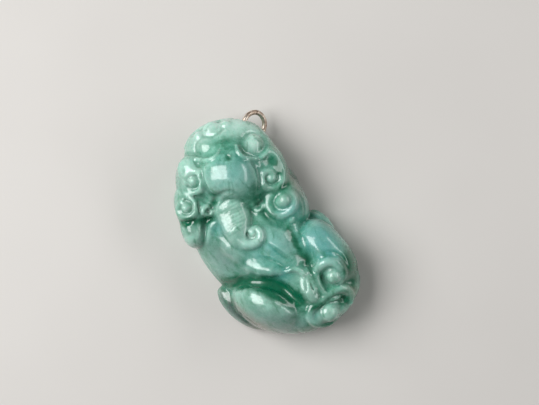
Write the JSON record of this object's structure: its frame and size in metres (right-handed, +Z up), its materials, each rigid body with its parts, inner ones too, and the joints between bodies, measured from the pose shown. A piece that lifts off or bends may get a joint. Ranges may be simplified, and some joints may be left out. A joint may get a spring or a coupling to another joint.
{
  "type": "jade beast pendant",
  "caption": "Carved jade mythical beast crouching on its belly, with curled mane, lying horn and curled tail, and a swinging metal ring through the corner of its lip.",
  "frame": {"origin": "middle of the flat underside, under the centre of the bounding box", "axes": "+Z up through the beast's back, +Y from the tail to the muzzle, +X to the beast's right"},
  "size_m": [0.0259, 0.0422, 0.0143],
  "materials": {
    "jade": "high polish, slightly translucent",
    "ring_metal": "polished"
  },
  "bodies": {
    "carving": {"jade_carving": "jade"},
    "ring": {"bail_ring": "ring_metal"}
  },
  "joints": [
    {"name": "ring_swing", "type": "hinge", "parent": "carving", "child": "ring", "pos_m": [0.00593, 0.0156, 0.0047], "axis": [-0.5792, 0.5792, 0.5736], "range_deg": [-5, 60]}
  ]
}
